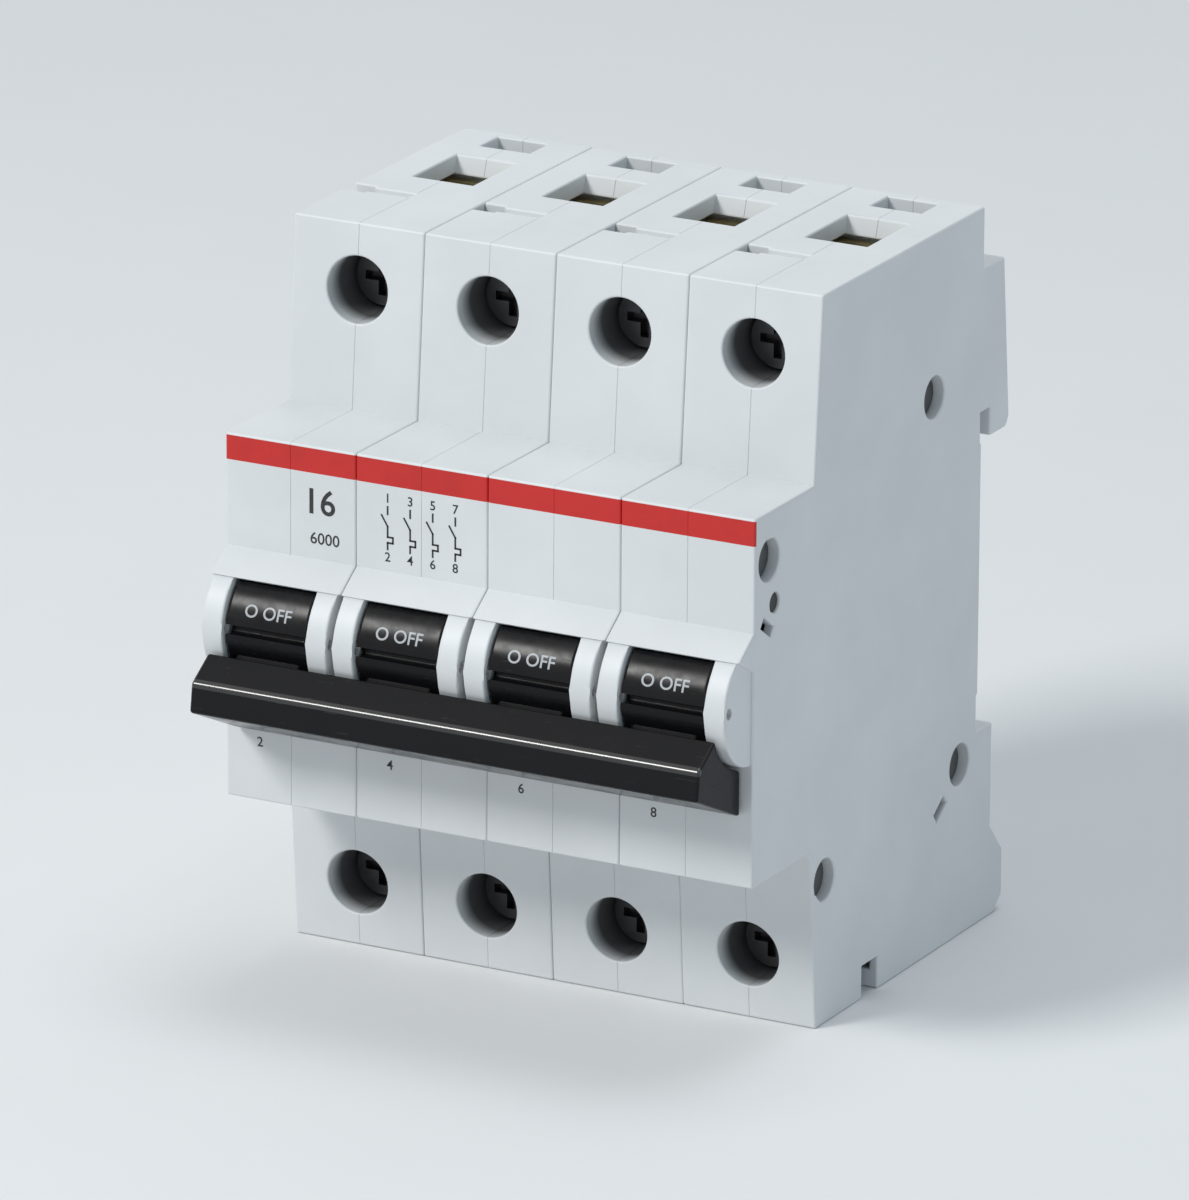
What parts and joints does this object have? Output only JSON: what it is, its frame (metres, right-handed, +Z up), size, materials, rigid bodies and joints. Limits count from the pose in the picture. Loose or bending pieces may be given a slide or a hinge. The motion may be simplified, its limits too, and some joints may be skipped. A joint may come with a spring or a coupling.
{
  "type": "modular circuit breaker",
  "caption": "Modular circuit breaker for a 35 mm rail, with linked toggles, screw terminals and a trip mechanism in moulded half shells.",
  "frame": {"origin": "middle of the rail seat on the back, where the 35 mm rail's lips lie", "axes": "+Z up, -Y towards the toggles, +Y into the rail, X across the poles"},
  "size_m": [0.07, 0.0771, 0.09],
  "materials": {
    "case_plastic": "light grey moulded, fine satin",
    "toggle_plastic": "black, glossy",
    "bar_plastic": "black, glossy with worn edges",
    "clip_plastic": "dark grey, satin",
    "inner_plastic": "dark grey, satin",
    "cheek_board": "pressed board",
    "screw_steel": "zinc plated",
    "cage_steel": "yellow zinc plated",
    "spring_steel": "drawn wire",
    "yoke_steel": "plated sheet",
    "rivet_steel": "dull plated",
    "plunger_iron": "turned iron",
    "contact_copper": "rolled copper",
    "braid_copper": "copper braid",
    "coil_copper": "enamelled copper wire",
    "bar_copper": "tinned copper strip",
    "bimetal": "rolled strip",
    "screw_brass": "turned brass"
  },
  "bodies": {
    "case": {"pole_1_left_case": "case_plastic", "pole_1_right_case": "case_plastic", "pole_2_left_case": "case_plastic", "pole_2_right_case": "case_plastic", "pole_3_left_case": "case_plastic", "pole_3_right_case": "case_plastic", "pole_4_left_case": "case_plastic", "pole_4_right_case": "case_plastic", "contact_pins": "spring_steel", "contact_springs": "spring_steel", "contact_braids": "braid_copper", "fixed_contacts": "contact_copper", "solenoid_coils": "coil_copper", "solenoid_bobbins": "inner_plastic", "solenoid_yokes": "yoke_steel", "bimetal_strips": "bimetal", "calibration_screws": "screw_brass", "arc_chute_plates": "yoke_steel", "arc_chute_cheeks": "cheek_board", "arc_runners": "contact_copper", "top_terminal_bars": "bar_copper", "bottom_terminal_bars": "bar_copper", "clip_springs": "spring_steel", "case_rivets": "rivet_steel"},
    "toggles": {"toggle_1": "toggle_plastic", "toggle_2": "toggle_plastic", "toggle_3": "toggle_plastic", "toggle_4": "toggle_plastic", "tie_bar": "bar_plastic", "toggle_springs": "spring_steel"},
    "links": {"toggle_links": "spring_steel"},
    "trip_bar": {"trip_shaft": "inner_plastic"},
    "contact_1": {"contact_arm_1": "contact_copper"},
    "plunger_1": {"plunger_1": "plunger_iron"},
    "clip_1": {"rail_clip_1": "clip_plastic"},
    "top_screw_1": {"top_screw_1": "screw_steel"},
    "top_cage_1": {"top_cage_1": "cage_steel"},
    "bottom_screw_1": {"bottom_screw_1": "screw_steel"},
    "bottom_cage_1": {"bottom_cage_1": "cage_steel"},
    "contact_2": {"contact_arm_2": "contact_copper"},
    "plunger_2": {"plunger_2": "plunger_iron"},
    "clip_2": {"rail_clip_2": "clip_plastic"},
    "top_screw_2": {"top_screw_2": "screw_steel"},
    "top_cage_2": {"top_cage_2": "cage_steel"},
    "bottom_screw_2": {"bottom_screw_2": "screw_steel"},
    "bottom_cage_2": {"bottom_cage_2": "cage_steel"},
    "contact_3": {"contact_arm_3": "contact_copper"},
    "plunger_3": {"plunger_3": "plunger_iron"},
    "clip_3": {"rail_clip_3": "clip_plastic"},
    "top_screw_3": {"top_screw_3": "screw_steel"},
    "top_cage_3": {"top_cage_3": "cage_steel"},
    "bottom_screw_3": {"bottom_screw_3": "screw_steel"},
    "bottom_cage_3": {"bottom_cage_3": "cage_steel"},
    "contact_4": {"contact_arm_4": "contact_copper"},
    "plunger_4": {"plunger_4": "plunger_iron"},
    "clip_4": {"rail_clip_4": "clip_plastic"},
    "top_screw_4": {"top_screw_4": "screw_steel"},
    "top_cage_4": {"top_cage_4": "cage_steel"},
    "bottom_screw_4": {"bottom_screw_4": "screw_steel"},
    "bottom_cage_4": {"bottom_cage_4": "cage_steel"}
  },
  "joints": [
    {"name": "toggle_swing", "type": "hinge", "parent": "case", "child": "toggles", "pos_m": [0, -0.0575, 0], "axis": [-1, 0, 0], "range_deg": [0, 72]},
    {"name": "link_swing", "type": "hinge", "parent": "toggles", "child": "links", "pos_m": [0, -0.05962, 0.00291], "axis": [-1, 0, 0], "range_deg": [-72, 0]},
    {"name": "trip_turn", "type": "hinge", "parent": "case", "child": "trip_bar", "pos_m": [0, -0.0533, 0.011], "axis": [1, 0, 0], "range_deg": [0, 6], "stiffness_Nm_per_rad": 0.03},
    {"name": "contact_swing_1", "type": "hinge", "parent": "case", "child": "contact_1", "pos_m": [-0.02625, -0.0435, -0.0076], "axis": [-1, 0, 0], "range_deg": [0, 22.5]},
    {"name": "plunger_stroke_1", "type": "slide", "parent": "case", "child": "plunger_1", "axis": [0, -1, 0], "range_m": [0, 0.004], "stiffness_N_per_m": 300},
    {"name": "clip_slide_1", "type": "slide", "parent": "case", "child": "clip_1", "axis": [0, 0, -1], "range_m": [0, 0.0045], "stiffness_N_per_m": 800, "deforming": ["clip_springs"]},
    {"name": "top_screw_turn_1", "type": "hinge", "parent": "case", "child": "top_screw_1", "pos_m": [-0.02625, -0.0345, 0.0369], "axis": [0, 1, 0], "range_deg": [0, 2700]},
    {"name": "top_cage_lift_1", "type": "slide", "parent": "case", "child": "top_cage_1", "axis": [0, -1, 0], "range_m": [0, 0.006]},
    {"name": "bottom_screw_turn_1", "type": "hinge", "parent": "case", "child": "bottom_screw_1", "pos_m": [-0.02625, -0.0345, -0.0369], "axis": [0, 1, 0], "range_deg": [0, 2700]},
    {"name": "bottom_cage_lift_1", "type": "slide", "parent": "case", "child": "bottom_cage_1", "axis": [0, -1, 0], "range_m": [0, 0.006]},
    {"name": "contact_swing_2", "type": "hinge", "parent": "case", "child": "contact_2", "pos_m": [-0.00875, -0.0435, -0.0076], "axis": [-1, 0, 0], "range_deg": [0, 22.5]},
    {"name": "plunger_stroke_2", "type": "slide", "parent": "case", "child": "plunger_2", "axis": [0, -1, 0], "range_m": [0, 0.004], "stiffness_N_per_m": 300},
    {"name": "clip_slide_2", "type": "slide", "parent": "case", "child": "clip_2", "axis": [0, 0, -1], "range_m": [0, 0.0045], "stiffness_N_per_m": 800, "deforming": ["clip_springs"]},
    {"name": "top_screw_turn_2", "type": "hinge", "parent": "case", "child": "top_screw_2", "pos_m": [-0.00875, -0.0345, 0.0369], "axis": [0, 1, 0], "range_deg": [0, 2700]},
    {"name": "top_cage_lift_2", "type": "slide", "parent": "case", "child": "top_cage_2", "axis": [0, -1, 0], "range_m": [0, 0.006]},
    {"name": "bottom_screw_turn_2", "type": "hinge", "parent": "case", "child": "bottom_screw_2", "pos_m": [-0.00875, -0.0345, -0.0369], "axis": [0, 1, 0], "range_deg": [0, 2700]},
    {"name": "bottom_cage_lift_2", "type": "slide", "parent": "case", "child": "bottom_cage_2", "axis": [0, -1, 0], "range_m": [0, 0.006]},
    {"name": "contact_swing_3", "type": "hinge", "parent": "case", "child": "contact_3", "pos_m": [0.00875, -0.0435, -0.0076], "axis": [-1, 0, 0], "range_deg": [0, 22.5]},
    {"name": "plunger_stroke_3", "type": "slide", "parent": "case", "child": "plunger_3", "axis": [0, -1, 0], "range_m": [0, 0.004], "stiffness_N_per_m": 300},
    {"name": "clip_slide_3", "type": "slide", "parent": "case", "child": "clip_3", "axis": [0, 0, -1], "range_m": [0, 0.0045], "stiffness_N_per_m": 800, "deforming": ["clip_springs"]},
    {"name": "top_screw_turn_3", "type": "hinge", "parent": "case", "child": "top_screw_3", "pos_m": [0.00875, -0.0345, 0.0369], "axis": [0, 1, 0], "range_deg": [0, 2700]},
    {"name": "top_cage_lift_3", "type": "slide", "parent": "case", "child": "top_cage_3", "axis": [0, -1, 0], "range_m": [0, 0.006]},
    {"name": "bottom_screw_turn_3", "type": "hinge", "parent": "case", "child": "bottom_screw_3", "pos_m": [0.00875, -0.0345, -0.0369], "axis": [0, 1, 0], "range_deg": [0, 2700]},
    {"name": "bottom_cage_lift_3", "type": "slide", "parent": "case", "child": "bottom_cage_3", "axis": [0, -1, 0], "range_m": [0, 0.006]},
    {"name": "contact_swing_4", "type": "hinge", "parent": "case", "child": "contact_4", "pos_m": [0.02625, -0.0435, -0.0076], "axis": [-1, 0, 0], "range_deg": [0, 22.5]},
    {"name": "plunger_stroke_4", "type": "slide", "parent": "case", "child": "plunger_4", "axis": [0, -1, 0], "range_m": [0, 0.004], "stiffness_N_per_m": 300},
    {"name": "clip_slide_4", "type": "slide", "parent": "case", "child": "clip_4", "axis": [0, 0, -1], "range_m": [0, 0.0045], "stiffness_N_per_m": 800, "deforming": ["clip_springs"]},
    {"name": "top_screw_turn_4", "type": "hinge", "parent": "case", "child": "top_screw_4", "pos_m": [0.02625, -0.0345, 0.0369], "axis": [0, 1, 0], "range_deg": [0, 2700]},
    {"name": "top_cage_lift_4", "type": "slide", "parent": "case", "child": "top_cage_4", "axis": [0, -1, 0], "range_m": [0, 0.006]},
    {"name": "bottom_screw_turn_4", "type": "hinge", "parent": "case", "child": "bottom_screw_4", "pos_m": [0.02625, -0.0345, -0.0369], "axis": [0, 1, 0], "range_deg": [0, 2700]},
    {"name": "bottom_cage_lift_4", "type": "slide", "parent": "case", "child": "bottom_cage_4", "axis": [0, -1, 0], "range_m": [0, 0.006]}
  ],
  "couplings": [
    {"joint": "link_swing", "follows": "toggle_swing", "ratio": -1},
    {"joint": "contact_swing_1", "follows": "toggle_swing", "ratio": 0.3125},
    {"joint": "top_screw_turn_1", "follows": "top_cage_lift_1", "rad_per_m": 7854},
    {"joint": "bottom_screw_turn_1", "follows": "bottom_cage_lift_1", "rad_per_m": 7854},
    {"joint": "contact_swing_2", "follows": "toggle_swing", "ratio": 0.3125},
    {"joint": "top_screw_turn_2", "follows": "top_cage_lift_2", "rad_per_m": 7854},
    {"joint": "bottom_screw_turn_2", "follows": "bottom_cage_lift_2", "rad_per_m": 7854},
    {"joint": "contact_swing_3", "follows": "toggle_swing", "ratio": 0.3125},
    {"joint": "top_screw_turn_3", "follows": "top_cage_lift_3", "rad_per_m": 7854},
    {"joint": "bottom_screw_turn_3", "follows": "bottom_cage_lift_3", "rad_per_m": 7854},
    {"joint": "contact_swing_4", "follows": "toggle_swing", "ratio": 0.3125},
    {"joint": "top_screw_turn_4", "follows": "top_cage_lift_4", "rad_per_m": 7854},
    {"joint": "bottom_screw_turn_4", "follows": "bottom_cage_lift_4", "rad_per_m": 7854}
  ]
}
